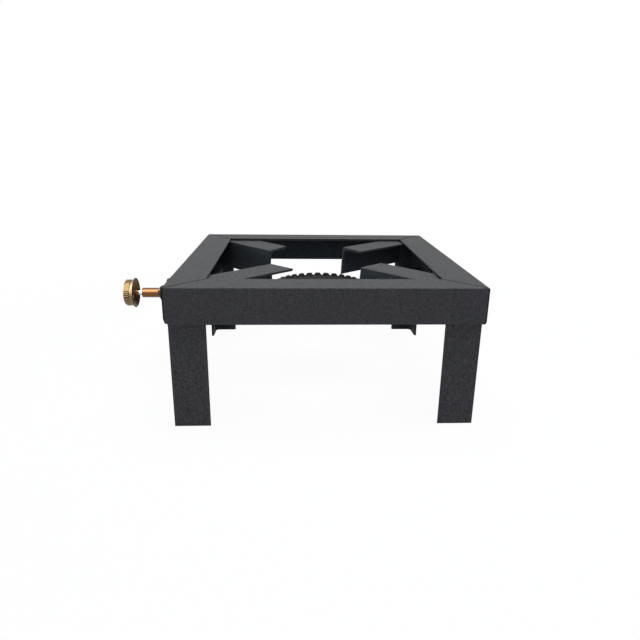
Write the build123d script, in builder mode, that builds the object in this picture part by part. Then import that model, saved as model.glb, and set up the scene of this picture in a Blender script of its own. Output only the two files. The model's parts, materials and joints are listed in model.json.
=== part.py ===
from build123d import *
from math import cos, radians, sin, tan
import os

os.makedirs("parts", exist_ok=True)

# Stand: a square frame of equal angle iron on four angle legs, the rear two slimmer.
# Origin on the floor under the burner's centre, +Z up, front at -Y, knob at -X.
SIDE = 300.0
HEIGHT = 140.0
FLANGE = 35.0
REAR_LEG = 31.0
THK = 3.0
ROOT_R = 5.0
TOE_R = 2.5
HEEL_R = 0.8
LEG_TOP_GAP = 1.0
ARM_END_GAP = 0.4
MITRE_GROOVE = 0.9
GRIND_RUN = 4.7
GRIND_RISE = 6.0
CORNER_GRIND = {(-1, -1): 1.0, (1, -1): 0.36}

# Pot arms, welded by hand: corner, upright's distance from the diagonal as a share of the flange,
# gap between the tip and the burner as a share of the flange, turn off the diagonal in degrees,
# skew of the end cut to the side and its lean from top to bottom, each as a slope.
ARMS = {
    "arm_front_left": ((-1, -1), 0.597, 0.229, -2.1, -0.04, 0.03),
    "arm_front_right": ((1, -1), 0.271, 0.297, -2.5, 0.0, -0.09),
    "arm_rear_left": ((-1, 1), 0.174, 0.684, -2.9, 0.283, 0.09),
    "arm_rear_right": ((1, 1), 0.580, 0.431, -4.4, -0.091, -0.066),
}

# Tray rests: short pieces of small angle inside the side rails, beside the legs.
REST = 20.0
REST_LENGTH = 60.0
REST_DROP = 8.0
REST_GAP = 0.4

# Burner: a cast bowl with a toothed rim, a mixing neck and a bell.
NECK_R = 8.6
NECK_BORE = 5.5
NECK_CLEAR = 1.1
RIM_R = 54.5
RIM_WALL = 7.3
LEDGE_WIDTH = 3.7
LEDGE_ROOF = 2.0
TOOTH_RISE = 4.7
TEETH = 32
TOOTH_EDGE = 0.8
SLOT_DEPTH = 2.9
SLOT_FOOT = 1.4
SLOT_FLARE = 1.5
SLOT_SLOPE = 19.6
BOWL_DEPTH = 10.0
BOWL_WALL = 4.0
FOOT_R = 7.5
FOOT_RISE = 2.0
FOOT_EDGE = 2.5
FOOT_SPREAD = 28.0
CAP_CLEAR = 0.5
CAP_RIM = 2.5
CAP_DISH = 1.5
CAP_THK = 3.0
CAP_SLOPE = 6.0
CAP_EDGE = 0.7
CAP_HEAD_R = 5.5
CAP_HEAD_HIGH = 3.4
SLOT_WIDE = 1.4
BELL_R = 16.2
BELL_WALL = 3.0
BELL_LENGTH = 25.7
BELL_CONE = 13.0
BOSS_R = 8.0
BOSS_LENGTH = 2.3
WINDOWS = 3
WINDOW_HALF = 27.0
WINDOW_IN = 9.6

# Straps that carry the burner between the side rails.
STRAP_WIDTH = 20.0
STRAP_BEND = 2.0
STRAP_TOP_GAP = 10.0
BOLT_R = 3.0
BOLT_CLEAR = 0.3
THREAD_CLEAR = 0.1
HEAD_AF = 10.0
HEAD_HIGH = 4.0
WASHER_R = 6.0
WASHER_THK = 1.2

# Gas valve on the neck's axis, from the bell outwards to the knob.
RUN_CLEAR = 0.05
SHUTTER_R = 17.0
SHUTTER_THK = 1.3
SHUTTER_GAP = 0.3
TAB_WIDTH = 9.0
TAB_REACH = 7.0
FRICTION_THK = 0.5
RETAINER_R = 9.0
RETAINER_THK = 2.0
BLOCK_AF = 15.0
BLOCK_LENGTH = 7.8
FLARE_LENGTH = 2.4
FLARE_EDGE = 0.1
TUBE_R = 5.7
TUBE_LENGTH = 18.8
SHANK_R = 4.6
SHANK_LENGTH = 1.5
SPUD_R = 5.9
SPUD_LENGTH = 12.0
STEM_R = 2.0
STOP_R = 3.2
STOP_LENGTH = 3.7
STOP_GAP = 0.3
SCREW_R = 3.0
SCREW_LENGTH = 8.0
NEEDLE_R = 2.2
GLAND_R = 4.0
GLAND_LENGTH = 4.5
PACKING_LENGTH = 3.5
LIFT_ROOM = 2.5
SEAT_LENGTH = 3.0
SEAT_BORE = 1.0
SEAT_GAP = 0.25
JET_AF = 8.0
JET_R = 2.5
JET_BORE = 0.6
INLET_R = 3.9
INLET_REACH = 21.0
INLET_BORE = 1.8
NIPPLE_AF = 11.0
NIPPLE_HEX = 5.0
NIPPLE_THREAD = 6.0
NIPPLE_WALL = 0.8
TAIL_NECK = 3.0
TAIL_R = 3.6
BARB_R = 4.5
BARBS = 4
BARB_PITCH = 6.0
TAIL_BORE = 2.0

# Hand knob: ridged drum, flared rim, dished back with ribbed pockets round the hub.
KNOB_GAP = 7.4
KNOB_R = 14.6
KNOB_RIM_R = 17.35
KNOB_DRUM = 6.6
KNOB_FLARE = 5.2
KNOB_WALL = 2.0
FLARE_STEPS = 6
FLARE_BOW = 1.5
RIM_ROUND = 0.5
RIM_EDGE = 1.0
DISH_DEPTH = 5.3
POCKET_R = 9.0
HUB_R = 4.6
HUB_TIP_R = 3.0
HUB_TIP_LENGTH = 2.0
HUB_PROUD = 2.8
RIBS = 8
RIB_THK = 1.4
RIB_SINK = 0.8
RIDGE_GROUPS = 4
RIDGE_STEP = 9.0
RIDGE_TURN = -6.4
RIDGE_HIGH = 0.7
RIDGE_WIDE = 1.2
RIDGE_INSET = 1.2
KNOB_HEAD_R = 2.8
KNOB_HEAD_HIGH = 2.2
DRIVER_SLOT = 0.9
KNOB_SCREW_R = 1.5
KNOB_SCREW_LENGTH = 7.0

BEAD = 2.6
TOE_BEAD = 1.3

# Heights and stations that follow from the sizes above.
HALF = SIDE / 2
INSIDE = HALF - THK
UNDER = HEIGHT - THK
RAIL_LOW = HEIGHT - FLANGE
GAS_Z = RAIL_LOW - NECK_R - NECK_CLEAR
LEDGE_Z = GAS_Z + NECK_BORE + LEDGE_ROOF
RIM_Z = LEDGE_Z + TOOTH_RISE
FLOOR_Z = GAS_Z - BOWL_DEPTH
BASE_Z = FLOOR_Z - BOWL_WALL
STRAP_Z = BASE_Z - FOOT_RISE
LEDGE_R = RIM_R - RIM_WALL
CHAMBER_R = LEDGE_R - LEDGE_WIDTH
BASE_R = FOOT_SPREAD + FOOT_R + FOOT_EDGE
CAP_Z = LEDGE_Z + CAP_RIM - CAP_DISH - CAP_THK

BELL_X = -(HALF + BELL_LENGTH)
BLOCK_X = BELL_X - BOSS_LENGTH
FLARE_X = BLOCK_X - BLOCK_LENGTH
NECK_X = FLARE_X - FLARE_LENGTH
TUBE_X = NECK_X - TUBE_LENGTH
KNOB_X = TUBE_X - KNOB_GAP
DRUM_X = KNOB_X - KNOB_FLARE
FRONT_X = DRUM_X - KNOB_DRUM
INLET_X = BLOCK_X - INLET_R - 0.1
SCREW_X = TUBE_X + GLAND_LENGTH + PACKING_LENGTH + LIFT_ROOM
SEAT_X = BLOCK_X
SPUD_X = BLOCK_X + SPUD_LENGTH
FLARE_R = BLOCK_AF / 2 - FLARE_EDGE

GAS_PLANE = Plane(origin=(0, 0, GAS_Z), x_dir=(1, 0, 0), z_dir=(0, -1, 0))
GAS_AXIS = Axis((0, 0, GAS_Z), (1, 0, 0))
UP_PLANE = Plane(origin=(0, 0, 0), x_dir=(1, 0, 0), z_dir=(0, -1, 0))


def save(piece, name):
    piece.part.label = name
    export_step(piece.part, "parts/" + name + ".step")


def side_on(x):
    return Plane(origin=(x, 0, GAS_Z), x_dir=(0, 1, 0), z_dir=(1, 0, 0))


def outline(points):
    with BuildLine() as edge:
        Polyline(*points, close=True)
    make_face(edge.edges())


def turned(points, mode=Mode.ADD):
    with BuildSketch(GAS_PLANE) as profile:
        outline(points)
    revolve(profile.sketch, axis=GAS_AXIS, mode=mode)


def spun(points, mode=Mode.ADD):
    with BuildSketch(UP_PLANE) as profile:
        outline(points)
    revolve(profile.sketch, axis=Axis.Z, mode=mode)


def angle_section(plane, size=FLANGE):
    # Rolled equal angle: heel at the plane's origin, one flange along x, one along y.
    with BuildSketch(plane) as section:
        outline([(0, 0), (size, 0), (size, THK), (THK, THK), (THK, size), (0, size)])
        rounds = [((THK, THK), ROOT_R), ((size, THK), TOE_R), ((THK, size), TOE_R), ((0, 0), HEEL_R)]
        for at, radius in rounds:
            fillet(section.vertices().sort_by_distance(at)[0], radius)
    return section.sketch


def bead(origin, x_dir, y_dir, length, run=BEAD, rise=BEAD):
    # Weld bead: a convex fillet in the corner between two faces, lower where one is a rounded toe.
    across = Vector(*x_dir)
    down = Vector(*y_dir)
    with BuildSketch(Plane(origin=origin, x_dir=across, z_dir=across.cross(down))) as profile:
        with BuildLine() as edge:
            Line((0, rise), (0, 0))
            Line((0, 0), (run, 0))
            ThreePointArc((run, 0), (0.62 * run, 0.62 * rise), (0, rise))
        make_face(edge.edges())
    extrude(profile.sketch, amount=length / 2, both=True)


def sector(r_in, r_out, middle, half):
    with BuildLine() as edge:
        CenterArc((0, 0), r_out, middle - half, 2 * half)
        CenterArc((0, 0), r_in, middle - half, 2 * half)
        for side in (middle - half, middle + half):
            c = cos(radians(side))
            s = sin(radians(side))
            Line((r_in * c, r_in * s), (r_out * c, r_out * s))
    make_face(edge.edges())


# Frame rails, each mitred at both ends.
RAILS = {"rail_front": (0, -1), "rail_right": (1, 0), "rail_rear": (0, 1), "rail_left": (-1, 0)}
for name, (ox, oy) in RAILS.items():
    inward = Vector(-ox, -oy, 0)
    along = inward.cross(Vector(0, 0, -1))
    with BuildPart() as rail:
        section = angle_section(Plane(origin=(ox * HALF, oy * HALF, HEIGHT), x_dir=inward, z_dir=along))
        extrude(section, amount=HALF, both=True)
        for end in (-1, 1):
            mitre = Plane(origin=(0, 0, 0), z_dir=inward + along * end)
            split(bisect_by=mitre, keep=Keep.BOTTOM)
        for cx, cy in ((-1, -1), (1, -1), (1, 1), (-1, 1)):
            # A fine groove shows where two rails meet.
            middle = HALF - FLANGE / 2
            groove = Plane(
                origin=(cx * middle, cy * middle, HEIGHT), x_dir=(cx, cy, 0), z_dir=(-cy, cx, 2 ** 0.5)
            )
            with Locations(groove):
                Box(2 * FLANGE, 2 ** 0.5 * MITRE_GROOVE, 2 ** 0.5 * MITRE_GROOVE, mode=Mode.SUBTRACT)
        for (cx, cy), share in CORNER_GRIND.items():
            # The low tip of a front corner is ground off across both rails.
            run = share * GRIND_RUN
            rise = share * GRIND_RISE
            with BuildPart(mode=Mode.SUBTRACT):
                with Locations((cx * HALF, cy * HALF, RAIL_LOW)):
                    Box(2 * run, 2 * run, 2 * rise)
                slope = Plane(
                    origin=(cx * HALF, cy * HALF, RAIL_LOW + rise), z_dir=(-cx / run, -cy / run, 1 / rise)
                )
                split(bisect_by=slope, keep=Keep.BOTTOM)
    save(rail, name)

# Legs, nested in the frame's corners.
LEGS = {
    "leg_front_left": (-1, -1, FLANGE),
    "leg_front_right": (1, -1, FLANGE),
    "leg_rear_left": (-1, 1, REAR_LEG),
    "leg_rear_right": (1, 1, REAR_LEG),
}
LEG_TOP = UNDER - ROOT_R - LEG_TOP_GAP
for name, (cx, cy, size) in LEGS.items():
    with BuildPart() as leg:
        up = cx * cy
        foot = Plane(origin=(cx * INSIDE, cy * INSIDE, 0), x_dir=(-cx, 0, 0), z_dir=(0, 0, up))
        extrude(angle_section(foot, size), amount=LEG_TOP * up)
    save(leg, name)

with BuildPart() as leg_welds:
    middle = (RAIL_LOW + LEG_TOP) / 2
    length = LEG_TOP - RAIL_LOW - 4
    for cx, cy, size in LEGS.values():
        toe = INSIDE - size
        bead((cx * toe, cy * INSIDE, middle), (-cx, 0, 0), (0, -cy, 0), length, rise=TOE_BEAD)
        bead((cx * INSIDE, cy * toe, middle), (-cx, 0, 0), (0, -cy, 0), length, run=TOE_BEAD)
save(leg_welds, "leg_welds")

# Pot arms on the diagonals, trimmed to the corner they are welded into.
ARM_LIMIT = INSIDE - ROOT_R - ARM_END_GAP
ARM_PIVOT = HALF * 16 / 15


def arm_lines(corner, turn):
    # Point on the diagonal, direction outwards along the arm, direction towards the upright.
    out = Vector(corner[0], corner[1], 0).normalized()
    side = Vector(-out.Y, out.X, 0)
    side = side if side.X < 0 else side * -1
    return out * ARM_PIVOT, out.rotate(Axis.Z, turn), side.rotate(Axis.Z, turn)


for name, (corner, offset, gap, turn, skew, lean) in ARMS.items():
    pivot, out, side = arm_lines(corner, turn)
    heel = offset * FLANGE
    reach = RIM_R + gap * FLANGE
    along = (side * -1).cross(Vector(0, 0, -1))
    outwards = 1 if along.dot(out) > 0 else -1
    start = pivot + out * (reach - FLANGE / 2 - ARM_PIVOT) + side * heel + Vector(0, 0, UNDER)
    with BuildPart() as arm:
        section = angle_section(Plane(origin=start, x_dir=side * -1, z_dir=along))
        extrude(section, amount=SIDE * outwards)
        Box(2 * ARM_LIMIT, 2 * ARM_LIMIT, 2 * HEIGHT, mode=Mode.INTERSECT)
        tip = pivot + out * (reach - ARM_PIVOT) + side * (heel - FLANGE / 2) + Vector(0, 0, UNDER)
        square = out + side * skew + Vector(0, 0, lean)
        split(bisect_by=Plane(origin=tip, z_dir=square), keep=Keep.TOP)
    save(arm, name)

with BuildPart() as arm_welds:
    for corner, offset, gap, turn, skew, lean in ARMS.values():
        pivot, out, side = arm_lines(corner, turn)
        heel = offset * FLANGE
        for lateral, away, rise in ((heel, side, BEAD), (heel - FLANGE, side * -1, TOE_BEAD)):
            foot = pivot + side * lateral
            near = []
            far = []
            for sign, at, go in ((corner[0], foot.X, out.X), (corner[1], foot.Y, out.Y)):
                near.append((HALF - FLANGE + 3 - sign * at) / (sign * go))
                far.append((ARM_LIMIT - 4 - sign * at) / (sign * go))
            first = min(near)
            last = min(far)
            centre = foot + out * ((first + last) / 2) + Vector(0, 0, UNDER)
            bead(centre, away, (0, 0, -1), last - first, rise=rise)
save(arm_welds, "arm_welds")

# Tray rests, each with one flange against the rail and the other as a ledge.
REST_Z = RAIL_LOW - REST_DROP
REST_MIDDLES = []
for name, (cx, cy, size) in LEGS.items():
    far = cy * (INSIDE - size - BEAD - REST_GAP)
    middle = far - cy * REST_LENGTH / 2
    REST_MIDDLES.append((cx, middle))
    with BuildPart() as rest:
        ledge = Plane(origin=(cx * INSIDE, middle, REST_Z), x_dir=(-cx, 0, 0), z_dir=(0, cx, 0))
        extrude(angle_section(ledge, REST), amount=REST_LENGTH / 2, both=True)
    save(rest, name.replace("leg", "tray_rest"))

with BuildPart() as rest_welds:
    for cx, y in REST_MIDDLES:
        bead((cx * INSIDE, y, REST_Z + REST), (-cx, 0, 0), (0, 0, 1), REST_LENGTH - 4, run=TOE_BEAD)
save(rest_welds, "rest_welds")

# Straps: flat bar bent up at both ends and welded inside the side rails.
STRAPS = {"strap_front": -FOOT_SPREAD, "strap_rear": FOOT_SPREAD}
STRAP_TOP = UNDER - STRAP_TOP_GAP
for name, y in STRAPS.items():
    with BuildPart() as strap:
        with BuildSketch(Plane(origin=(0, y, 0), x_dir=(1, 0, 0), z_dir=(0, -1, 0))) as side_view:
            under = STRAP_Z - THK
            outer = [(-INSIDE, STRAP_TOP), (-INSIDE, under), (INSIDE, under), (INSIDE, STRAP_TOP)]
            inner = [(INSIDE - THK, STRAP_TOP), (INSIDE - THK, STRAP_Z), (THK - INSIDE, STRAP_Z)]
            outline(outer + inner + [(THK - INSIDE, STRAP_TOP)])
            fillet(side_view.vertices().group_by(Axis.Y)[0], STRAP_BEND + THK)
            for x in (THK - INSIDE, INSIDE - THK):
                fillet(side_view.vertices().sort_by_distance((x, STRAP_Z))[0], STRAP_BEND)
        extrude(amount=STRAP_WIDTH / 2, both=True)
        with Locations((0, y, STRAP_Z - THK / 2)):
            Cylinder(BOLT_R + BOLT_CLEAR, 2 * THK, mode=Mode.SUBTRACT)
    save(strap, name)

with BuildPart() as strap_welds:
    middle = (RAIL_LOW + STRAP_TOP) / 2
    length = STRAP_TOP - RAIL_LOW - 4
    for y in STRAPS.values():
        for cx in (-1, 1):
            for edge in (-1, 1):
                at = (cx * INSIDE, y + edge * STRAP_WIDTH / 2, middle)
                bead(at, (-cx, 0, 0), (0, edge, 0), length)
save(strap_welds, "strap_welds")

with BuildPart() as strap_washers:
    for y in STRAPS.values():
        with Locations((0, y, STRAP_Z - THK - WASHER_THK / 2)):
            Cylinder(WASHER_R, WASHER_THK)
            Cylinder(BOLT_R + BOLT_CLEAR, 2 * WASHER_THK, mode=Mode.SUBTRACT)
save(strap_washers, "strap_washers")

HEAD_Z = STRAP_Z - THK - WASHER_THK
BOLT_TOP = FLOOR_Z + BOWL_WALL
with BuildPart() as strap_bolts:
    for y in STRAPS.values():
        with BuildSketch(Plane.XY.offset(HEAD_Z - HEAD_HIGH)):
            with Locations((0, y)):
                RegularPolygon(HEAD_AF / 2, 6, major_radius=False)
        extrude(amount=HEAD_HIGH)
        with Locations((0, y, (HEAD_Z + BOLT_TOP) / 2)):
            Cylinder(BOLT_R, BOLT_TOP - HEAD_Z)
save(strap_bolts, "strap_bolts")

# Burner body: bowl, toothed rim, neck and bell in one casting.
SLOPE = radians(SLOT_SLOPE)
SLOT_START = RIM_R + 2
SLOT_HIGH = 2.2 * TOOTH_RISE
slots = []
for tooth in range(TEETH):
    a = 2 * 3.141592653589793 * (tooth + 0.5) / TEETH
    radial = Vector(cos(a), sin(a), 0)
    tangent = Vector(sin(a), -cos(a), 0)
    start_z = RIM_Z - SLOT_DEPTH + (SLOT_START - RIM_R) * tan(SLOPE)
    inwards = radial * -cos(SLOPE) + Vector(0, 0, -sin(SLOPE))
    slots.append(Plane(origin=radial * SLOT_START + Vector(0, 0, start_z), x_dir=tangent, z_dir=inwards))

BELL_IN = BELL_R - BELL_WALL
CONE_X = BELL_X + BELL_LENGTH - BELL_CONE - 3
with BuildPart() as burner_body:
    spun([
        (0, BASE_Z), (BASE_R, BASE_Z), ((BASE_R + RIM_R) / 2, BASE_Z + 5), (RIM_R, GAS_Z + 2),
        (RIM_R, RIM_Z - TOOTH_EDGE), (RIM_R - TOOTH_EDGE, RIM_Z), (LEDGE_R, RIM_Z), (LEDGE_R, LEDGE_Z),
        (CHAMBER_R, LEDGE_Z), (0, LEDGE_Z),
    ])
    turned([
        (-LEDGE_R, 0), (-LEDGE_R, NECK_R), (CONE_X + BELL_CONE, NECK_R), (CONE_X, BELL_R),
        (BELL_X, BELL_R), (BELL_X, BOSS_R), (BLOCK_X, BOSS_R), (BLOCK_X, 0),
    ])
    spun([
        (0, FLOOR_Z), (BASE_R - 1, FLOOR_Z), (CHAMBER_R - 1.5, FLOOR_Z + 5),
        (CHAMBER_R, GAS_Z + 2), (CHAMBER_R, RIM_Z), (0, RIM_Z),
    ], mode=Mode.SUBTRACT)
    turned([
        (-CHAMBER_R + 4, 0), (-CHAMBER_R + 4, NECK_BORE), (CONE_X + BELL_CONE, NECK_BORE),
        (CONE_X, BELL_IN), (BELL_X + BELL_WALL, BELL_IN), (BELL_X + BELL_WALL, 0),
    ], mode=Mode.SUBTRACT)
    turned([
        (-HALF, 0), (-HALF, SPUD_R + THREAD_CLEAR), (BLOCK_X - 1, SPUD_R + THREAD_CLEAR),
        (BLOCK_X - 1, 0),
    ], mode=Mode.SUBTRACT)
    with BuildSketch(side_on(BELL_X)):
        for k in range(WINDOWS):
            sector(WINDOW_IN, BELL_IN - 0.5, 90 + 360 / WINDOWS * k, WINDOW_HALF)
    extrude(amount=BELL_WALL, both=True, mode=Mode.SUBTRACT)
    with BuildSketch(*slots):
        top = SLOT_FOOT / 2 + SLOT_FLARE / 2 * SLOT_HIGH
        outline([(-SLOT_FOOT / 2, 0), (SLOT_FOOT / 2, 0), (top, SLOT_HIGH), (-top, SLOT_HIGH)])
    extrude(amount=(SLOT_START - CHAMBER_R + 1) / cos(SLOPE), mode=Mode.SUBTRACT)
    # Centre post for the cap's screw, and two feet that stand on the straps.
    with BuildSketch(Plane.XY.offset(FLOOR_Z - BOWL_WALL / 2)):
        Circle(BOLT_R + 4)
    extrude(amount=CAP_Z - FLOOR_Z + BOWL_WALL / 2)
    for y in STRAPS.values():
        with BuildSketch(Plane.XY.offset(STRAP_Z)):
            with Locations((0, y)):
                Circle(FOOT_R)
        extrude(amount=BOLT_TOP + 2 - STRAP_Z)
        with Locations((0, y, (STRAP_Z + BOLT_TOP) / 2)):
            Cylinder(BOLT_R + THREAD_CLEAR, BOLT_TOP - STRAP_Z + 1, mode=Mode.SUBTRACT)
    with Locations((0, 0, (FLOOR_Z + 1 + CAP_Z) / 2)):
        Cylinder(BOLT_R + THREAD_CLEAR, CAP_Z - FLOOR_Z - 1, mode=Mode.SUBTRACT)
save(burner_body, "burner_body")

CAP_R = LEDGE_R - CAP_CLEAR
CAP_TOP = LEDGE_Z + CAP_RIM
with BuildPart() as burner_cap:
    spun([
        (0, CAP_Z), (CHAMBER_R - 4.5, CAP_Z), (CHAMBER_R - 2.5, LEDGE_Z), (CAP_R, LEDGE_Z),
        (CAP_R, CAP_TOP - CAP_EDGE), (CAP_R - CAP_EDGE, CAP_TOP), (CHAMBER_R - CAP_DISH, CAP_TOP),
        (CHAMBER_R - CAP_DISH - CAP_SLOPE, CAP_TOP - CAP_DISH), (0, CAP_TOP - CAP_DISH),
    ])
    with Locations((0, 0, CAP_Z + CAP_THK / 2)):
        Cylinder(BOLT_R + BOLT_CLEAR, 2 * CAP_THK, mode=Mode.SUBTRACT)
save(burner_cap, "burner_cap")

with BuildPart() as cap_screw:
    screw_z = CAP_TOP - CAP_DISH
    spun([
        (0, FLOOR_Z + 3), (BOLT_R, FLOOR_Z + 3), (BOLT_R, screw_z), (CAP_HEAD_R, screw_z),
        (CAP_HEAD_R, screw_z + 0.6 * CAP_HEAD_HIGH), (0.65 * CAP_HEAD_R, screw_z + CAP_HEAD_HIGH),
        (0, screw_z + CAP_HEAD_HIGH),
    ])
    with Locations((0, 0, screw_z + CAP_HEAD_HIGH)):
        Box(3 * CAP_HEAD_R, SLOT_WIDE, 2 * SLOT_WIDE, mode=Mode.SUBTRACT)
save(cap_screw, "cap_screw")

# Air shutter: a disc with windows that turns on the bell's boss.
SHUT_X = BELL_X - SHUTTER_GAP
with BuildPart() as air_shutter:
    with BuildSketch(side_on(SHUT_X - SHUTTER_THK)):
        Circle(SHUTTER_R)
        with Locations((0, -(SHUTTER_R + TAB_REACH / 2 - 1))):
            RectangleRounded(TAB_WIDTH, TAB_REACH + 2, 2)
        Circle(BOSS_R + RUN_CLEAR, mode=Mode.SUBTRACT)
        with BuildSketch(mode=Mode.SUBTRACT):
            for k in range(WINDOWS):
                sector(WINDOW_IN, BELL_IN - 0.5, 90 + 360 / WINDOWS * k, WINDOW_HALF)
    extrude(amount=SHUTTER_THK)
save(air_shutter, "air_shutter")

with BuildPart() as shutter_washer:
    with BuildSketch(side_on(BLOCK_X)):
        Circle(RETAINER_R)
        Circle(BOSS_R + 3 * RUN_CLEAR, mode=Mode.SUBTRACT)
    extrude(amount=FRICTION_THK)
save(shutter_washer, "shutter_washer")

# Valve block: spud, flange that keeps the shutter, hexagon, side inlet and the tube's socket, in dark metal.
SEAT_R = SCREW_R + RUN_CLEAR
SHANK_X = FLARE_X + SHANK_LENGTH
RETAINER_X = BLOCK_X - RETAINER_THK
with BuildPart() as valve_block:
    turned([
        (SPUD_X, 0), (SPUD_X, SPUD_R - 0.6), (SPUD_X - 0.6, SPUD_R), (BLOCK_X, SPUD_R), (BLOCK_X, RETAINER_R),
        (RETAINER_X, RETAINER_R), (RETAINER_X, FLARE_R), (FLARE_X, FLARE_R), (FLARE_X, 0),
    ])
    with BuildSketch(side_on(FLARE_X)):
        RegularPolygon(BLOCK_AF / 2, 6, major_radius=False)
    extrude(amount=BLOCK_LENGTH)
    with BuildSketch(Plane(origin=(INLET_X, 0, GAS_Z), x_dir=(1, 0, 0), z_dir=(0, 1, 0))):
        Circle(INLET_R - 0.1)
    extrude(amount=INLET_REACH)
    turned([
        (FLARE_X - 1, 0), (FLARE_X - 1, SHANK_R + THREAD_CLEAR),
        (SHANK_X + THREAD_CLEAR, SHANK_R + THREAD_CLEAR),
        (SHANK_X + THREAD_CLEAR, SEAT_R), (SEAT_X, SEAT_R),
        (SEAT_X + SEAT_LENGTH, SEAT_BORE), (SEAT_X + 2 * SEAT_LENGTH, SEAT_BORE),
        (SEAT_X + 2 * SEAT_LENGTH, JET_R + THREAD_CLEAR), (SPUD_X + 1, JET_R + THREAD_CLEAR), (SPUD_X + 1, 0),
    ], mode=Mode.SUBTRACT)
    with BuildSketch(Plane(origin=(INLET_X, 0, GAS_Z), x_dir=(1, 0, 0), z_dir=(0, 1, 0))):
        Circle(INLET_BORE)
    extrude(amount=INLET_REACH + 1, mode=Mode.SUBTRACT)
    with BuildSketch(Plane(origin=(INLET_X, INLET_REACH, GAS_Z), x_dir=(1, 0, 0), z_dir=(0, -1, 0))):
        Circle(INLET_BORE + NIPPLE_WALL + THREAD_CLEAR)
    extrude(amount=NIPPLE_THREAD + 2, mode=Mode.SUBTRACT)
save(valve_block, "valve_block")

# Valve tube: brass with a flared foot, its shank in the block's socket and the gland in its outer end.
with BuildPart() as valve_tube:
    packing_end = TUBE_X + GLAND_LENGTH + PACKING_LENGTH
    turned([
        (TUBE_X, GLAND_R + THREAD_CLEAR), (TUBE_X, TUBE_R - 0.5), (TUBE_X + 0.5, TUBE_R), (NECK_X, TUBE_R),
        (FLARE_X, FLARE_R), (FLARE_X, SHANK_R), (SHANK_X, SHANK_R), (SHANK_X, SEAT_R), (packing_end, SEAT_R),
        (packing_end, GLAND_R + THREAD_CLEAR),
    ])
save(valve_tube, "valve_tube")

with BuildPart() as packing_ring:
    turned([
        (TUBE_X + GLAND_LENGTH, STEM_R + RUN_CLEAR), (TUBE_X + GLAND_LENGTH, GLAND_R),
        (TUBE_X + GLAND_LENGTH + PACKING_LENGTH, GLAND_R),
        (TUBE_X + GLAND_LENGTH + PACKING_LENGTH, STEM_R + RUN_CLEAR),
    ])
save(packing_ring, "packing_ring")

with BuildPart() as gland_bush:
    turned([
        (TUBE_X, STEM_R + RUN_CLEAR), (TUBE_X, GLAND_R),
        (TUBE_X + GLAND_LENGTH, GLAND_R), (TUBE_X + GLAND_LENGTH, STEM_R + RUN_CLEAR),
    ])
    with Locations((TUBE_X, 0, GAS_Z)):
        Box(1.6, 3 * GLAND_R, 1.2, mode=Mode.SUBTRACT)
save(gland_bush, "gland_bush")

with BuildPart() as gas_jet:
    jet_end = SPUD_X + 4
    with BuildSketch(side_on(SPUD_X)):
        RegularPolygon(JET_AF / 2, 6, major_radius=False)
    extrude(amount=4)
    turned([
        (SEAT_X + 2 * SEAT_LENGTH + 1, 0), (SEAT_X + 2 * SEAT_LENGTH + 1, JET_R), (SPUD_X + 1, JET_R),
        (SPUD_X + 1, 3), (jet_end, 3), (jet_end + 3, 1.6), (jet_end + 3, 0),
    ])
    turned([
        (SEAT_X, 0), (SEAT_X, 2 * JET_BORE), (jet_end, 2 * JET_BORE), (jet_end + 1, JET_BORE),
        (jet_end + 4, JET_BORE), (jet_end + 4, 0),
    ], mode=Mode.SUBTRACT)
save(gas_jet, "gas_jet")

# Needle spindle: stem, stop collar, screw and point in one piece.
POINT_SLOPE = (SEAT_R - SEAT_BORE) / SEAT_LENGTH
POINT_X = SEAT_X + (SEAT_R - NEEDLE_R) / POINT_SLOPE - SEAT_GAP
POINT_FLAT = 0.5
POINT_END = POINT_X + (NEEDLE_R - POINT_FLAT) / POINT_SLOPE
STEM_X = FRONT_X + KNOB_WALL + 0.2
HUB_X = KNOB_X + HUB_PROUD
STOP_X = HUB_X + STOP_GAP
with BuildPart() as valve_needle:
    turned([
        (STEM_X, 0), (STEM_X, STEM_R), (STOP_X, STEM_R), (STOP_X, STOP_R), (STOP_X + STOP_LENGTH, STOP_R),
        (STOP_X + STOP_LENGTH, STEM_R), (SCREW_X, STEM_R), (SCREW_X, SCREW_R),
        (SCREW_X + SCREW_LENGTH, SCREW_R), (SCREW_X + SCREW_LENGTH, NEEDLE_R), (POINT_X, NEEDLE_R),
        (POINT_END, POINT_FLAT), (POINT_END, 0),
    ])
    turned([
        (STEM_X - 1, 0), (STEM_X - 1, KNOB_SCREW_R + RUN_CLEAR),
        (STEM_X + KNOB_SCREW_LENGTH, KNOB_SCREW_R + RUN_CLEAR), (STEM_X + KNOB_SCREW_LENGTH, 0),
    ], mode=Mode.SUBTRACT)
save(valve_needle, "valve_needle")

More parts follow.
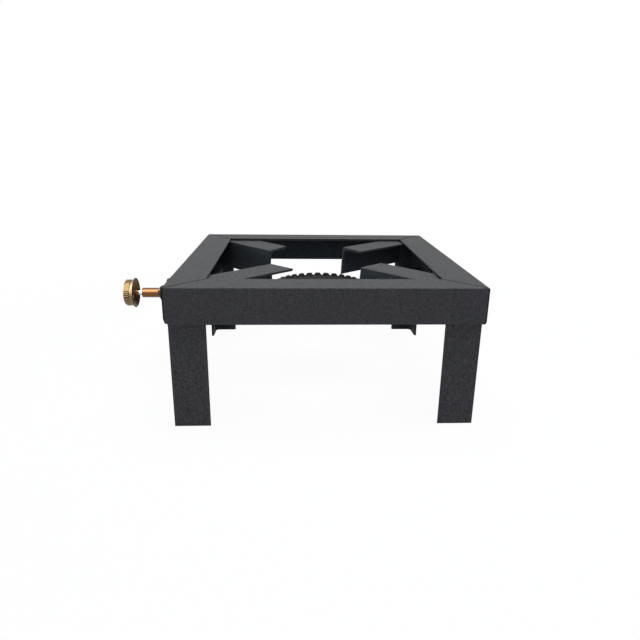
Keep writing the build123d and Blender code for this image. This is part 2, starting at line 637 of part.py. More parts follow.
DISH_X = KNOB_X - DISH_DEPTH
flare = []
for step in range(FLARE_STEPS + 1):
    share = step / FLARE_STEPS
    rise = (KNOB_RIM_R - KNOB_R) * share ** FLARE_BOW
    flare.append((DRUM_X + (KNOB_FLARE - RIM_ROUND) * share, KNOB_R + rise))
with BuildPart() as valve_knob:
    turned([
        (FRONT_X, 0), (FRONT_X, KNOB_R - 1.6), (FRONT_X + 0.5, KNOB_R - 0.6), (FRONT_X + 1.6, KNOB_R),
        *flare, (KNOB_X, KNOB_RIM_R - RIM_ROUND), (KNOB_X, KNOB_RIM_R - RIM_EDGE), (DISH_X, POCKET_R),
        (FRONT_X + KNOB_WALL, POCKET_R), (FRONT_X + KNOB_WALL, HUB_R), (DISH_X, HUB_R),
        (DISH_X + HUB_TIP_LENGTH, HUB_TIP_R), (HUB_X, HUB_TIP_R), (HUB_X, 0),
    ])
    with BuildSketch(side_on(FRONT_X + KNOB_WALL)):
        for k in range(RIBS):
            with Locations(Rot(0, 0, 360 / RIBS * k) * Pos((HUB_R + POCKET_R) / 2, 0)):
                Rectangle(POCKET_R - HUB_R + 1, RIB_THK)
    extrude(amount=DISH_X - RIB_SINK - FRONT_X - KNOB_WALL)
    with BuildSketch(side_on(FRONT_X + RIDGE_INSET)):
        for group in range(RIDGE_GROUPS):
            for k in (-1, 0, 1):
                angle = RIDGE_TURN + 360 / RIDGE_GROUPS * group + RIDGE_STEP * k
                with Locations(Rot(0, 0, angle) * Pos(KNOB_R, 0)):
                    Rectangle(2 * RIDGE_HIGH, RIDGE_WIDE)
    extrude(amount=KNOB_DRUM - RIDGE_INSET)
    turned([
        (STEM_X - 0.2, 0), (STEM_X - 0.2, STEM_R + RUN_CLEAR),
        (HUB_X + 1, STEM_R + RUN_CLEAR), (HUB_X + 1, 0),
    ], mode=Mode.SUBTRACT)
    turned([
        (FRONT_X - 1, 0), (FRONT_X - 1, KNOB_SCREW_R + THREAD_CLEAR),
        (STEM_X, KNOB_SCREW_R + THREAD_CLEAR), (STEM_X, 0),
    ], mode=Mode.SUBTRACT)
save(valve_knob, "valve_knob")

HEAD_X = FRONT_X - KNOB_HEAD_HIGH
with BuildPart() as knob_screw:
    turned([
        (HEAD_X, 0), (HEAD_X, 0.6 * KNOB_HEAD_R), (HEAD_X + 0.4 * KNOB_HEAD_HIGH, KNOB_HEAD_R),
        (FRONT_X, KNOB_HEAD_R), (FRONT_X, KNOB_SCREW_R), (STEM_X + KNOB_SCREW_LENGTH - 1, KNOB_SCREW_R),
        (STEM_X + KNOB_SCREW_LENGTH - 1, 0),
    ])
    with Locations((HEAD_X, 0, GAS_Z)):
        Box(KNOB_HEAD_HIGH, 3 * KNOB_HEAD_R, DRIVER_SLOT, mode=Mode.SUBTRACT)
save(knob_screw, "knob_screw")

# Hose nipple, screwed into the valve's side inlet.
NIPPLE_AXIS = Axis((INLET_X, 0, GAS_Z), (0, 1, 0))
HEX_END = INLET_REACH + NIPPLE_HEX
BARB_Y = HEX_END + TAIL_NECK
THREAD_Y = INLET_REACH - NIPPLE_THREAD
THREAD_R = INLET_BORE + NIPPLE_WALL
with BuildPart() as hose_nipple:
    with BuildSketch(Plane(origin=(INLET_X, HEX_END, GAS_Z), x_dir=(1, 0, 0), z_dir=(0, -1, 0))):
        RegularPolygon(NIPPLE_AF / 2, 6, major_radius=False)
    extrude(amount=NIPPLE_HEX)
    tail = [(0, THREAD_Y), (THREAD_R, THREAD_Y), (THREAD_R, INLET_REACH + 1)]
    tail += [(TAIL_R, INLET_REACH + 1), (TAIL_R, BARB_Y)]
    for k in range(BARBS):
        tail += [(BARB_R, BARB_Y + BARB_PITCH * k), (TAIL_R, BARB_Y + BARB_PITCH * (k + 1))]
    tail += [(0, BARB_Y + BARB_PITCH * BARBS)]
    with BuildSketch(Plane(origin=(INLET_X, 0, GAS_Z), x_dir=(1, 0, 0), z_dir=(0, 0, 1))):
        outline(tail)
    revolve(axis=NIPPLE_AXIS)
    with BuildSketch(Plane(origin=(INLET_X, THREAD_Y - 1, GAS_Z), x_dir=(1, 0, 0), z_dir=(0, 1, 0))):
        Circle(TAIL_BORE)
    extrude(amount=BARB_PITCH * (BARBS + 2) + NIPPLE_HEX, mode=Mode.SUBTRACT)
save(hose_nipple, "hose_nipple")
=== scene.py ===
import json
import math

import bmesh
import bpy
from mathutils import Matrix, Vector, noise


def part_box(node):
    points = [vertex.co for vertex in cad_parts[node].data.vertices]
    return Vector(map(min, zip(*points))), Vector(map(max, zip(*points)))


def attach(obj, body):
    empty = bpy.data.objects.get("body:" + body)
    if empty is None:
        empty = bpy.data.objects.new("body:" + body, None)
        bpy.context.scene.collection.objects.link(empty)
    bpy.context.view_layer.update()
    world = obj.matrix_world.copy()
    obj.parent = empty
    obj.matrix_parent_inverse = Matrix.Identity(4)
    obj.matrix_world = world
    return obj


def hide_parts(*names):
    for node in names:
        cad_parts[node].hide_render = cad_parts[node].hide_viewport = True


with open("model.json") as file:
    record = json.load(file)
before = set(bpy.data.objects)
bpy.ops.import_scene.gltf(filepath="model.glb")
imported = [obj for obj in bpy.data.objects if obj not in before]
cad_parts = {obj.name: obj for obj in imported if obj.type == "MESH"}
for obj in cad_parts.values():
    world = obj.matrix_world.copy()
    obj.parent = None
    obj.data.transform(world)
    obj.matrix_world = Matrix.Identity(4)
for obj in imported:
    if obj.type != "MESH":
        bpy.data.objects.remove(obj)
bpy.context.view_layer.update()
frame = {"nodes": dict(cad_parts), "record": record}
nodes = frame["nodes"]

MM = 0.001

# Finishes. Levels are sRGB greys from 0 to 255. Metal rougher than MIRROR_ROUGH gets rounded edges.
COAT_LEVEL = 70
COAT_GLOSS = 0.12
COAT_ROUND = 0.7 * MM
# The dark line of painted shade along the rails' mitres: its level, the half width where it is full, and
# where it has faded.
SEAM_SHADE_LEVEL = 14
SEAM_HALF = 1.0 * MM
SEAM_END = 1.6 * MM
IRON_LEVEL = 27
IRON_GLOSS = 0.2
IRON_ROUND = 0.9 * MM
METAL_ROUND = 0.4 * MM
MIRROR_ROUGH = 0.25
# How far the painted shade in corners reaches.
NOOK_REACH = 1.3 * MM

# The knob's ridges, as they are in the part: the drum's length, the groups of ridges round it,
# the degrees from ridge to ridge and the degrees by which the groups are turned.
KNOB_DRUM = 6.6 * MM
RIDGE_GROUPS = 4
RIDGE_STEP = 9.0
RIDGE_TURN = -6.4
# Radii between which the drum's finish fades in and the painted highlight round the middle boss fades out.
DRUM_FADE = (11 * MM, 12 * MM)
HUB_FADE = (4.8 * MM, 5.2 * MM)
DRUM_END_FADE = 0.3 * MM


class Shade:
    """A node material with a Principled shader and short ways to add the nodes that feed it."""

    def __init__(self, name):
        self.mat = bpy.data.materials.new(name)
        self.mat.use_nodes = True
        self.tree = self.mat.node_tree
        self.shader = self.tree.nodes["Principled BSDF"]
        self.coords = self.add("ShaderNodeTexCoord").outputs["Object"]

    def add(self, kind, **settings):
        node = self.tree.nodes.new(kind)
        for key, value in settings.items():
            setattr(node, key, value)
        return node

    def link(self, source, target):
        self.tree.links.new(source, target)

    def feed(self, socket, value):
        if isinstance(value, bpy.types.NodeSocket):
            self.link(value, socket)
        else:
            socket.default_value = value

    def set(self, **values):
        for key, value in values.items():
            self.feed(self.shader.inputs[key.replace("_", " ")], value)

    def noise(self, scale, detail=2.0, roughness=0.5, coords=None):
        node = self.add("ShaderNodeTexNoise")
        self.feed(node.inputs["Scale"], scale)
        self.feed(node.inputs["Detail"], detail)
        self.feed(node.inputs["Roughness"], roughness)
        self.link(coords or self.coords, node.inputs["Vector"])
        return node.outputs["Fac"]

    def stretched(self, scale):
        node = self.add("ShaderNodeMapping")
        node.inputs["Scale"].default_value = scale
        self.link(self.coords, node.inputs["Vector"])
        return node.outputs["Vector"]

    def parts(self, vector):
        """The X, Y and Z of a vector."""
        node = self.add("ShaderNodeSeparateXYZ")
        self.link(vector, node.inputs[0])
        return node.outputs

    def math(self, operation, a, b=0.0):
        node = self.add("ShaderNodeMath", operation=operation)
        self.feed(node.inputs[0], a)
        self.feed(node.inputs[1], b)
        return node.outputs[0]

    def span(self, value, low, high, out_low=0.0, out_high=1.0):
        node = self.add("ShaderNodeMapRange")
        self.feed(node.inputs["Value"], value)
        self.feed(node.inputs["From Min"], low)
        self.feed(node.inputs["From Max"], high)
        self.feed(node.inputs["To Min"], out_low)
        self.feed(node.inputs["To Max"], out_high)
        return node.outputs["Result"]

    def mix(self, share, a, b):
        """A mix of two colours. Sockets of a Mix node share names, so its colours go by number."""
        node = self.add("ShaderNodeMix", data_type="RGBA")
        self.feed(node.inputs["Factor"], share)
        for socket, value in ((node.inputs[6], a), (node.inputs[7], b)):
            self.feed(socket, (*value, 1.0) if isinstance(value, tuple) else value)
        return node.outputs[2]

    def bump(self, height, strength, distance, under=None):
        node = self.add("ShaderNodeBump")
        self.feed(node.inputs["Strength"], strength)
        self.feed(node.inputs["Distance"], distance)
        self.link(height, node.inputs["Height"])
        if under is not None:
            self.link(under, node.inputs["Normal"])
        return node.outputs["Normal"]

    def edges(self, radius):
        """About 0 on a flat face and 1 where it turns a sharp corner, and the normal of rounded corners."""
        bevel = self.add("ShaderNodeBevel", samples=6)
        bevel.inputs["Radius"].default_value = radius
        plain = self.add("ShaderNodeNewGeometry").outputs["Normal"]
        dot = self.add("ShaderNodeVectorMath", operation="DOT_PRODUCT")
        self.link(bevel.outputs["Normal"], dot.inputs[0])
        self.link(plain, dot.inputs[1])
        return self.span(dot.outputs["Value"], 1.0, 0.8), bevel.outputs["Normal"]


def grey(level, warm=0.0):
    """A linear colour from an sRGB level of 0 to 255, a little warm or cool."""
    s = level / 255
    linear = s / 12.92 if s <= 0.04045 else ((s + 0.055) / 1.055) ** 2.4
    return (linear * (1 + warm), linear, linear * (1 - warm))


def coat(name, level, seam_shade_lines=False):
    """Charcoal powder coat with a fine sandy texture and a painted highlight along its edges;
    on the rails also painted shade, a dark line along the mitres.
    """
    s = Shade(name)
    sand = s.noise(900, 2.0, 0.6)
    drift = s.noise(260, 2.0, 0.5)
    cloud = s.noise(14, 3.0, 0.55)
    edge, rounded = s.edges(COAT_ROUND)
    speckle = s.math("ADD", s.math("MULTIPLY", sand, 0.8), s.math("MULTIPLY", drift, 0.2))
    colour = s.mix(s.span(speckle, 0.38, 0.62), grey(level - 20, 0.01), grey(level + 17, 0.01))
    colour = s.mix(s.span(cloud, 0.35, 0.7, 0.0, 0.35), colour, grey(level - 6))
    # Painted highlight: the edges are lightened, broken up by noise.
    edge_highlight = s.math("MULTIPLY", edge, s.span(s.noise(90, 2.0), 0.45, 0.7))
    colour = s.mix(s.math("MULTIPLY", edge_highlight, 0.2), colour, grey(level + 30))
    if seam_shade_lines:
        # Painted shade of the narrow gaps at the mitres, a dark line along the diagonals,
        # where X and Y are equally far from the middle.
        spot = s.parts(s.coords)
        apart = s.math("SUBTRACT", s.math("ABSOLUTE", spot["X"]), s.math("ABSOLUTE", spot["Y"]))
        seam_shade = s.span(s.math("ABSOLUTE", apart), SEAM_HALF, SEAM_END, 0.9, 0.0)
        colour = s.mix(seam_shade, colour, grey(SEAM_SHADE_LEVEL))
    height = s.math("ADD", s.math("MULTIPLY", drift, 0.6), sand)
    s.set(
        Base_Color=colour,
        Roughness=s.span(sand, 0.3, 0.7, 0.55, 0.7),
        Normal=s.bump(height, 0.4, 0.25 * MM, rounded),
        Specular_IOR_Level=COAT_GLOSS,
    )
    return s.mat


def cast_iron(name, level):
    """Dark sand casting, a little rusty in patches and paler on its edges."""
    s = Shade(name)
    sand = s.noise(520, 4.0, 0.65)
    lumps = s.noise(120, 3.0)
    cloud = s.noise(22, 3.0)
    edge, rounded = s.edges(IRON_ROUND)
    colour = s.mix(s.span(sand, 0.3, 0.7), grey(level - 8, 0.02), grey(level + 10, 0.03))
    colour = s.mix(s.span(cloud, 0.45, 0.75, 0.0, 0.35), colour, grey(level - 4, 0.12))
    colour = s.mix(s.math("MULTIPLY", edge, 0.3), colour, grey(level + 25))
    height = s.math("ADD", s.math("MULTIPLY", sand, 0.6), lumps)
    s.set(
        Base_Color=colour,
        Roughness=s.span(sand, 0.3, 0.7, 0.55, 0.75),
        Normal=s.bump(height, 0.6, 0.5 * MM, rounded),
        Specular_IOR_Level=IRON_GLOSS,
    )
    return s.mat


def knob_ridges(s, facing):
    """Shares from 0 to 1 over the knob: on its drum, of painted shade in the grooves beside ridges,
    and of a painted highlight on the ridges and on the boss in the middle.

    Facing is 0 on faces round the X axis and 1 on those across it.
    """
    low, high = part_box("valve_knob")
    spot = s.parts(s.coords)
    across = spot["Y"]
    lift = s.math("SUBTRACT", spot["Z"], (low.z + high.z) / 2)
    square = s.math("ADD", s.math("MULTIPLY", across, across), s.math("MULTIPLY", lift, lift))
    radius = s.math("SQRT", square)
    drum_end = low.x + KNOB_DRUM
    drum = s.span(spot["X"], drum_end - DRUM_END_FADE, drum_end, 1.0, 0.0)
    drum = s.math("MULTIPLY", drum, s.span(radius, *DRUM_FADE))

    # Ridges stand at -1, 0 and 1 steps from the middle of their group, with grooves half a step from them.
    groups = s.math("MULTIPLY", s.math("ARCTAN2", lift, across), RIDGE_GROUPS / math.tau)
    part = s.math("FRACT", s.math("ADD", groups, 0.5 - RIDGE_TURN * RIDGE_GROUPS / 360))
    steps = s.math("MULTIPLY", s.math("SUBTRACT", part, 0.5), 360 / RIDGE_GROUPS / RIDGE_STEP)
    wave = s.math("COSINE", s.math("MULTIPLY", steps, math.tau))
    side = s.math("MULTIPLY", drum, s.span(facing, 0.75, 0.95, 1.0, 0.0))
    group = s.math("MULTIPLY", side, s.span(s.math("ABSOLUTE", steps), 1.75, 1.85, 1.0, 0.0))
    # Painted shade darkens the grooves beside the ridges; painted highlights lighten the ridges and the side
    # of the boss in the middle.
    groove_shade = s.math("MULTIPLY", group, s.span(wave, 0.0, -0.5, 0.0, 0.85))
    ridge_highlight = s.math("MULTIPLY", group, s.span(wave, 0.2, 0.6, 0.0, 0.7))
    hub_highlight = s.math("MULTIPLY", s.span(radius, *HUB_FADE, 1.0, 0.0), s.span(facing, 0.3, 0.6, 1.0, 0.0))
    return drum, groove_shade, s.math("MAXIMUM", ridge_highlight, hub_highlight)


def metal(name, dark, light, rough, grain, scale=(1, 1, 1), tarnish=None, stain=0.5, bump=0.15, uneven=0.07,
          lacquer=(0.0, 0.1), corner_shade=None, unworked_shaded_back=None, wear_and_highlight=None, satin=None, ridged=False):
    """Worked metal: colour drift and turning or drawing marks along the stretched noise.

    Painted shade darkens the corners, and metal wear with a painted highlight lightens the edges round the X
    axis. Faces that look to +X can be left unworked in a darker colour of their own, partly their own colour
    and partly painted shade, and faces that look to -X can have a roughness of their own, satin.
    Lacquer is the weight and the roughness of a clear coat. Ridged metal, which needs the corner shade and
    the wear colour, also has painted shade in the grooves beside the knob's ridges and a painted highlight on
    the ridges and on the boss in the middle.
    """
    s = Shade(name)
    lines = s.noise(grain, 3.0, 0.6, coords=s.stretched(scale))
    cloud = s.noise(60, 3.0, 0.6)
    edge, rounded = s.edges(METAL_ROUND) if rough > MIRROR_ROUGH else (None, None)
    ahead = s.parts(s.add("ShaderNodeTexCoord").outputs["Normal"])["X"]
    facing = s.math("ABSOLUTE", ahead)
    colour = s.mix(s.span(cloud, 0.3, 0.7), dark, light)
    colour = s.mix(s.span(lines, 0.35, 0.7, 0.0, 0.35), colour, dark)
    if tarnish:
        colour = s.mix(s.span(s.noise(180, 4.0, 0.7), 0.5, 0.72, 0.0, stain), colour, tarnish)
    # Faces that look to +X get a darker colour, partly the unworked metal's own and partly painted shade of
    # the hollow.
    if unworked_shaded_back:
        unworked_and_shade = s.mix(s.span(s.noise(300, 3.0), 0.35, 0.65), unworked_shaded_back, tuple(1.3 * c for c in unworked_shaded_back))
        colour = s.mix(s.span(ahead, 0.15, 0.35), colour, unworked_and_shade)
    # Metal wear and a painted highlight: edges round the X axis are lightened.
    if wear_and_highlight:
        around = s.span(facing, 0.05, 0.15, 1.0, 0.0)
        colour = s.mix(s.math("MULTIPLY", edge, around), colour, wear_and_highlight)
    # Painted shade: corners found by ambient occlusion are darkened.
    if corner_shade:
        nook = s.add("ShaderNodeAmbientOcclusion", samples=8, only_local=True)
        nook.inputs["Distance"].default_value = NOOK_REACH
        shade_share = s.span(nook.outputs["AO"], 0.45, 0.95, 0.9, 0.0)
        # On the drum, painted shade in the grooves beside the ridges takes the place of the corner shade, and
        # the ridges and the boss in the middle get a painted highlight.
        if ridged:
            drum, groove_shade, ridge_and_hub_highlight = knob_ridges(s, facing)
            shade_share = s.math("MAXIMUM", s.math("SUBTRACT", shade_share, drum), groove_shade)
            colour = s.mix(ridge_and_hub_highlight, colour, wear_and_highlight)
        colour = s.mix(shade_share, colour, corner_shade)
    roughness = s.span(lines, 0.3, 0.7, rough - uneven, rough + uneven)
    if satin:
        roughness = s.math("MAXIMUM", roughness, s.span(ahead, -0.3, -0.1, satin, 0.0))
    s.set(
        Base_Color=colour,
        Metallic=1.0,
        Roughness=roughness,
        Normal=s.bump(lines, bump, 0.1 * MM, rounded),
        Coat_Weight=lacquer[0],
        Coat_Roughness=lacquer[1],
    )
    return s.mat


def packing(name):
    """Black fibrous packing."""
    s = Shade(name)
    strands = s.noise(900, 3.0)
    s.set(
        Base_Color=s.mix(strands, (0.012, 0.012, 0.012), (0.05, 0.048, 0.045)),
        Roughness=s.span(strands, 0, 1, 0.6, 0.9),
        Normal=s.bump(strands, 0.5, 0.2 * MM),
    )
    return s.mat


DRAWN_ROUND_X = (1, 0.03, 0.03)
DRAWN_ALONG_X = (0.06, 1, 1)
COAT = coat("charcoal_coat", COAT_LEVEL)
# The rails' coat has painted shade along the mitres.
COAT_SEAM_SHADED = coat("charcoal_coat_rails", COAT_LEVEL, seam_shade_lines=True)

# The finish of each of the record's slots, and of the nodes that differ from their slot.
SLOT_FINISH = {
    "frame_paint": COAT,
    "burner_iron": cast_iron("cast_iron", IRON_LEVEL),
    "bolt_steel": metal(
        "bright_steel", (0.46, 0.46, 0.47), (0.66, 0.66, 0.67), 0.30, 700, DRAWN_ALONG_X,
        tarnish=(0.30, 0.29, 0.28),
    ),
    "valve_brass": metal(
        "turned_brass", (0.185, 0.070, 0.007), (0.22, 0.088, 0.011), 0.20, 2400, DRAWN_ROUND_X,
        tarnish=(0.13, 0.045, 0.006), stain=0.2, bump=0.004, uneven=0.01, lacquer=(1.0, 0.16), satin=0.5,
    ),
    # The knob has painted shade in its corners, grooves and on faces that look to +X, and painted highlights
    # on its edges, ridges and middle boss.
    "knob_brass": metal(
        "cast_brass", (0.240, 0.160, 0.070), (0.295, 0.204, 0.095), 0.38, 420,
        tarnish=(0.15, 0.10, 0.042), stain=0.35, bump=0.05, uneven=0.04, lacquer=(0.2, 0.25),
        corner_shade=(0.05, 0.03, 0.01), unworked_shaded_back=(0.105, 0.066, 0.023), wear_and_highlight=(0.50, 0.35, 0.18), ridged=True,
    ),
    "packing_rubber": packing("graphite_packing"),
}
NODE_FINISH = {
    "valve_needle": metal(
        "polished_steel", (0.86, 0.86, 0.87), (0.95, 0.95, 0.95), 0.12, 900, DRAWN_ROUND_X,
        bump=0.01, uneven=0.03,
    ),
    "cap_screw": metal(
        "sooty_steel", (0.05, 0.048, 0.045), (0.10, 0.096, 0.09), 0.42, 500,
        tarnish=(0.03, 0.027, 0.024),
    ),
}
for part in frame["record"]["subparts"]:
    name = part["node"]
    finish = NODE_FINISH.get(name, SLOT_FINISH[part["material_slot"]])
    if name.startswith("rail_"):
        finish = COAT_SEAM_SHADED
    mesh = nodes[name].data
    mesh.materials.clear()
    mesh.materials.append(finish)


# Weld beads: rippled, lumpy and painted over, in place of the plain fillets.
# Lengths in legs are shares of a bead's leg, and heights are shares of the plain fillet's.
RIPPLE_PITCH = 1.7 * MM
BEAD_STEP = 0.28 * MM
BEAD_SINK = 0.2 * MM
ARC_POINTS = 9
MIN_STATIONS = 8
END_HEIGHT = 0.45
END_LEGS = 0.9
RIPPLE_LEAD_LEGS = 0.45
PLAIN_HEIGHT = 0.80
CROWN_HEIGHT = 0.07
RIPPLE_HEIGHT = 0.09
LUMP_HEIGHT = 0.11
LUMP_SCALE = 260
GRAIN_SCALE = 700
GRAIN_SHARE = 0.5
# How near two points, two normals' directions or two normals' right angle count as exact.
SAME_SPOT = 1e-7
ON_EDGE = 1e-5
SAME_WAY = 0.9999
SQUARE = 0.01


def islands(mesh):
    """The separate solids of a mesh, as lists of polygons."""
    owner = list(range(len(mesh.vertices)))

    def root(i):
        while owner[i] != i:
            owner[i] = owner[owner[i]]
            i = owner[i]
        return i

    spots = {}
    for vert in mesh.vertices:
        key = tuple(round(c / SAME_SPOT) for c in vert.co)
        owner[vert.index] = spots.setdefault(key, vert.index)
    for poly in mesh.polygons:
        first = root(poly.vertices[0])
        for other in poly.vertices[1:]:
            owner[root(other)] = first
    groups = {}
    for poly in mesh.polygons:
        groups.setdefault(root(poly.vertices[0]), []).append(poly)
    return [groups[key] for key in sorted(groups)]


def corner_line(mesh, polys):
    """The line where a fillet's two flat faces meet: its ends, and the fillet's two legs as vectors."""
    areas = []
    for poly in polys:
        for entry in areas:
            if entry[0].dot(poly.normal) > SAME_WAY:
                entry[1] += poly.area
                break
        else:
            areas.append([poly.normal.copy(), poly.area])
    areas.sort(key=lambda entry: -entry[1])
    one = areas[0][0]
    two = next(normal for normal, area in areas if abs(normal.dot(one)) < SQUARE)
    points = [mesh.vertices[i].co for poly in polys for i in poly.vertices]
    edge = max(p.dot(one) + p.dot(two) for p in points)
    corner = [p for p in points if p.dot(one) + p.dot(two) > edge - ON_EDGE]
    line = one.cross(two)
    corner.sort(key=lambda p: p.dot(line))
    legs = [max(p.dot(n) for p in points) - min(p.dot(n) for p in points) for n in (one, two)]
    return corner[0].copy(), corner[-1].copy(), -one * legs[0], -two * legs[1]


def weld(bm, start, end, across, down, seed):
    """A bead from start to end in the corner between its two legs, closed and tapered at both ends."""
    length = (end - start).length
    leg = (across.length + down.length) / 2
    inward = (across.normalized(), down.normalized())
    along = (end - start) / length
    stations = max(MIN_STATIONS, round(length / BEAD_STEP))
    rings = []
    for k in range(stations + 1):
        s = length * k / stations
        foot = start + along * s
        end_gap = max(0.0, min(s, length - s))
        taper = END_HEIGHT + (1 - END_HEIGHT) * min(1.0, end_gap / (END_LEGS * leg)) ** 0.5
        ring = [bm.verts.new(foot - (inward[0] + inward[1]) * BEAD_SINK)]
        for j in range(ARC_POINTS):
            share = j / (ARC_POINTS - 1)
            angle = math.pi / 2 * share
            bow = math.sin(2 * angle)
            phase = (s + RIPPLE_LEAD_LEGS * leg * bow) / RIPPLE_PITCH
            ripple = abs(math.sin(math.pi * phase))
            place = foot + across * math.cos(angle) + down * math.sin(angle)
            lump = noise.noise(place * LUMP_SCALE + Vector((seed, 0, 0)))
            lump += GRAIN_SHARE * noise.noise(place * GRAIN_SCALE)
            swell = PLAIN_HEIGHT + CROWN_HEIGHT * bow + RIPPLE_HEIGHT * ripple * bow + LUMP_HEIGHT * lump
            reach = min(taper * swell, 1.0)
            point = across * reach * math.cos(angle) + down * reach * math.sin(angle)
            point -= inward[0 if share > 0.5 else 1] * (BEAD_SINK * (1 - bow))
            ring.append(bm.verts.new(foot + point))
        rings.append(ring)
    sides = ARC_POINTS + 1
    for a, b in zip(rings, rings[1:]):
        for j in range(sides):
            bm.faces.new((a[j], a[(j + 1) % sides], b[(j + 1) % sides], b[j]))
    bm.faces.new(list(reversed(rings[0])))
    bm.faces.new(rings[-1])


for node in sorted(name for name in nodes if name.endswith("_welds")):
    source = nodes[node].data
    bm = bmesh.new()
    for seed, polys in enumerate(islands(source)):
        weld(bm, *corner_line(source, polys), seed)
    bmesh.ops.recalc_face_normals(bm, faces=bm.faces)
    mesh = bpy.data.meshes.new(node + "_rippled")
    bm.to_mesh(mesh)
    bm.free()
    for poly in mesh.polygons:
        poly.use_smooth = len(poly.vertices) == 4
    mesh.materials.append(COAT)
    beads = bpy.data.objects.new(node + "_rippled", mesh)
    bpy.context.scene.collection.objects.link(beads)
    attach(beads, "stove")
    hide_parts(node)


# Camera, as the photograph was taken.
PITCH, YAW, ROLL = (math.radians(a) for a in (17.9125, -2.9899, 0.8398))
LENS_PX = 554.84
SENSOR = 36.0
PICTURE_PX = 640
CLIP_START = 0.01
FRAME_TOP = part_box("rail_front")[1].z
EYE = Vector((-32.26 * MM, -636.83 * MM, FRAME_TOP + 127.28 * MM))


def turn(angle, i, j):
    """A turn by an angle in the plane of two axes."""
    m = Matrix.Identity(3)
    m[i][i] = m[j][j] = math.cos(angle)
    m[i][j] = -math.sin(angle)
    m[j][i] = math.sin(angle)
    return m


level_view = Matrix(((1, 0, 0), (0, 0, -1), (0, 1, 0)))
look = turn(ROLL, 0, 1) @ turn(PITCH, 1, 2) @ level_view @ turn(-YAW, 0, 1)
axes = Matrix((look[0], -look[1], -look[2])).transposed().to_4x4()
camera = bpy.data.objects.new("camera", bpy.data.cameras.new("camera"))
camera.data.sensor_fit = "HORIZONTAL"
camera.data.sensor_width = SENSOR
camera.data.lens = LENS_PX / PICTURE_PX * SENSOR
camera.data.clip_start = CLIP_START
camera.matrix_world = Matrix.Translation(EYE) @ axes
bpy.context.scene.collection.objects.link(camera)
bpy.context.scene.camera = camera


# Stage: white surroundings and a pale floor, as the camera and reflections see them, and plain light
# from both on the object.
AMBIENT_TINT = (0.36, 0.64, 1.0, 1.0)
AMBIENT_STRENGTH = 0.42
WALL_TOP = (0.40, 0.70)
CEILING_STRENGTH = 0.15
FLOOR_SIZE = 6.0
FLOOR_DROP = 0.5 * MM
FLOOR_BOUNCE = (0.25, 0.275, 0.30, 1)
FLOOR_PALE = (0.85, 0.85, 0.85, 1)
FLOOR_GLOW = (0.96, 1.0)
FLOOR_GLOW_RADII = (0.35, 0.9)
FLOOR_MIRRORED = 0.6


def maximum(tree, a, b):
    """The larger of two sockets or numbers."""
    node = tree.nodes.new("ShaderNodeMath")
    node.operation = "MAXIMUM"
    for socket, value in zip(node.inputs, (a, b)):
        if isinstance(value, bpy.types.NodeSocket):
            tree.links.new(value, socket)
        else:
            socket.default_value = value
    return node.outputs[0]


def fade(tree, value, span, ends):
    """A smooth step from the first of ends to the last while the value crosses the span."""
    node = tree.nodes.new("ShaderNodeMapRange")
    node.interpolation_type = "SMOOTHSTEP"
    for key, number in zip(("From Min", "From Max", "To Min", "To Max"), (*span, *ends)):
        node.inputs[key].default_value = number
    tree.links.new(value, node.inputs["Value"])
    return node.outputs["Result"]


def blend_shaders(tree, share, first, second):
    node = tree.nodes.new("ShaderNodeMixShader")
    for socket, source in zip(node.inputs, (share, first, second)):
        tree.links.new(source, socket)
    return node.outputs[0]


def white_for_camera(tree, plain, white):
    """A shader, white to the camera and in reflections and plain to the rest, and the camera's share."""
    path = tree.nodes.new("ShaderNodeLightPath").outputs
    seen = path["Is Camera Ray"]
    for name in ("Is Glossy Ray", "Is Transmission Ray"):
        seen = maximum(tree, seen, path[name])
    return blend_shaders(tree, seen, plain, white), path["Is Camera Ray"]


# The wall is white all round; higher up, where the camera does not look, reflections see a dim ceiling.
world = bpy.data.worlds.new("studio")
bpy.context.scene.world = world
world.use_nodes = True
tree = world.node_tree
ambient = tree.nodes["Background"]
ambient.inputs["Color"].default_value = AMBIENT_TINT
ambient.inputs["Strength"].default_value = AMBIENT_STRENGTH
backdrop = tree.nodes.new("ShaderNodeBackground")
backdrop.inputs["Color"].default_value = (1, 1, 1, 1)
out, by_camera = white_for_camera(tree, ambient.outputs[0], backdrop.outputs[0])
tree.links.new(out, tree.nodes["World Output"].inputs["Surface"])
upward = tree.nodes.new("ShaderNodeSeparateXYZ")
tree.links.new(tree.nodes.new("ShaderNodeTexCoord").outputs["Generated"], upward.inputs[0])
wall = fade(tree, upward.outputs["Z"], WALL_TOP, (1.0, CEILING_STRENGTH))
tree.links.new(maximum(tree, wall, by_camera), backdrop.inputs["Strength"])

# The floor glows white, apart from a faint shadow near the object, and is dimmer in reflections.
bpy.ops.mesh.primitive_plane_add(size=FLOOR_SIZE, location=(0, 0, -FLOOR_DROP))
floor = bpy.context.object
floor.name = "floor"
floor_mat = bpy.data.materials.new("pale_floor")
floor_mat.use_nodes = True
tree = floor_mat.node_tree
tree.nodes.remove(tree.nodes["Principled BSDF"])
bounce = tree.nodes.new("ShaderNodeBsdfDiffuse")
bounce.inputs["Color"].default_value = FLOOR_BOUNCE
pale = tree.nodes.new("ShaderNodeBsdfDiffuse")
pale.inputs["Color"].default_value = FLOOR_PALE
glow = tree.nodes.new("ShaderNodeEmission")
away = tree.nodes.new("ShaderNodeVectorMath")
away.operation = "LENGTH"
tree.links.new(tree.nodes.new("ShaderNodeTexCoord").outputs["Object"], away.inputs[0])
glowing = fade(tree, away.outputs["Value"], FLOOR_GLOW_RADII, FLOOR_GLOW)
part_glow = blend_shaders(tree, glowing, pale.outputs[0], glow.outputs[0])
out, by_camera = white_for_camera(tree, bounce.outputs[0], part_glow)
tree.links.new(out, tree.nodes["Material Output"].inputs["Surface"])
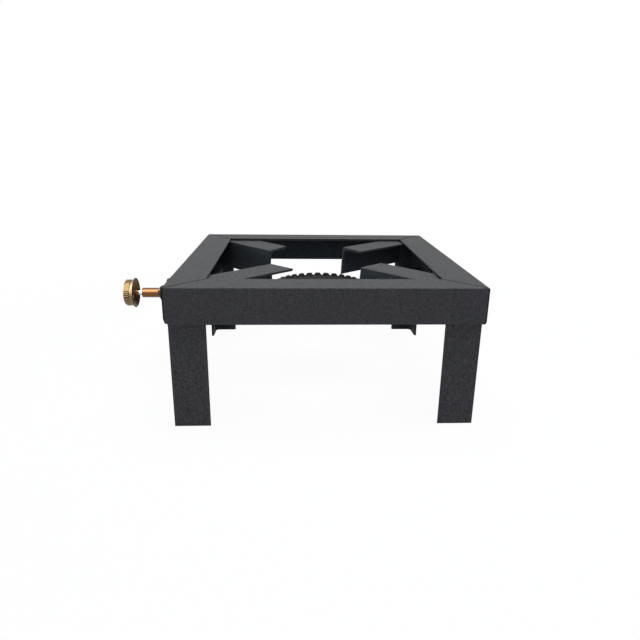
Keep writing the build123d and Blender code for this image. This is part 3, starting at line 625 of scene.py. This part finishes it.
tree.links.new(maximum(tree, by_camera, FLOOR_MIRRORED), glow.inputs["Strength"])
floor.data.materials.append(floor_mat)


# Lamps. Places, aims and sizes are in metres and powers in watts.
MIDDLE = (0, 0, 0.1)
VALVE = (-0.2, 0, 0.1)
KNOB = (-0.225, 0, 0.1)
KEY_TINT = (1.0, 0.955, 0.90)
FRONT_TINT = (1.0, 0.74, 0.62)
SIDE_TINT = (1.0, 0.80, 0.75)
SIDE_SIZE = (0.6, 0.12)
SIDE_POWER = 1.5
SIDE_FILLS = {"left": (-1.5, 0.1, 0.2), "right": (1.5, 0.1, 0.2), "rear": (0.1, 1.5, 0.2)}


def lamp(name, place, aim, size, power, tint=(1, 1, 1), card=False, mirrored=True):
    """A soft lamp; a card only shows as a reflection in shiny metal, and some lamps do not show there."""
    light = bpy.data.lights.new(name, "AREA")
    light.shape = "RECTANGLE"
    light.size, light.size_y = size
    light.energy = power
    light.color = tint
    obj = bpy.data.objects.new(name, light)
    obj.visible_diffuse = not card
    obj.visible_glossy = mirrored
    obj.location = place
    obj.rotation_euler = (Vector(aim) - Vector(place)).to_track_quat("-Z", "Y").to_euler()
    bpy.context.scene.collection.objects.link(obj)


lamp("key", (0.12, -0.05, 1.50), MIDDLE, (1.0, 1.0), 22.5, KEY_TINT)
lamp("fill", (0, -6.0, 0.14), MIDDLE, (0.4, 0.15), 86.0, FRONT_TINT, mirrored=False)
for name, place in SIDE_FILLS.items():
    lamp("fill_" + name, place, MIDDLE, SIDE_SIZE, SIDE_POWER, SIDE_TINT, mirrored=False)
lamp("front_card", (-0.615, -0.87, 1.249), VALVE, (0.35, 1.3), 8.9, card=True)
lamp("side_card", (-1.23, 0.14, 0.51), VALVE, (0.7, 0.47), 7.0, card=True)
lamp("knob_card", (-1.15, -0.30, 0.22), KNOB, (0.25, 0.35), 2.2, card=True)
lamp("top_card", (-0.58, 0.12, 1.45), VALVE, (1.0, 1.0), 6.3, card=True)

bpy.context.scene.view_settings.view_transform = "Standard"
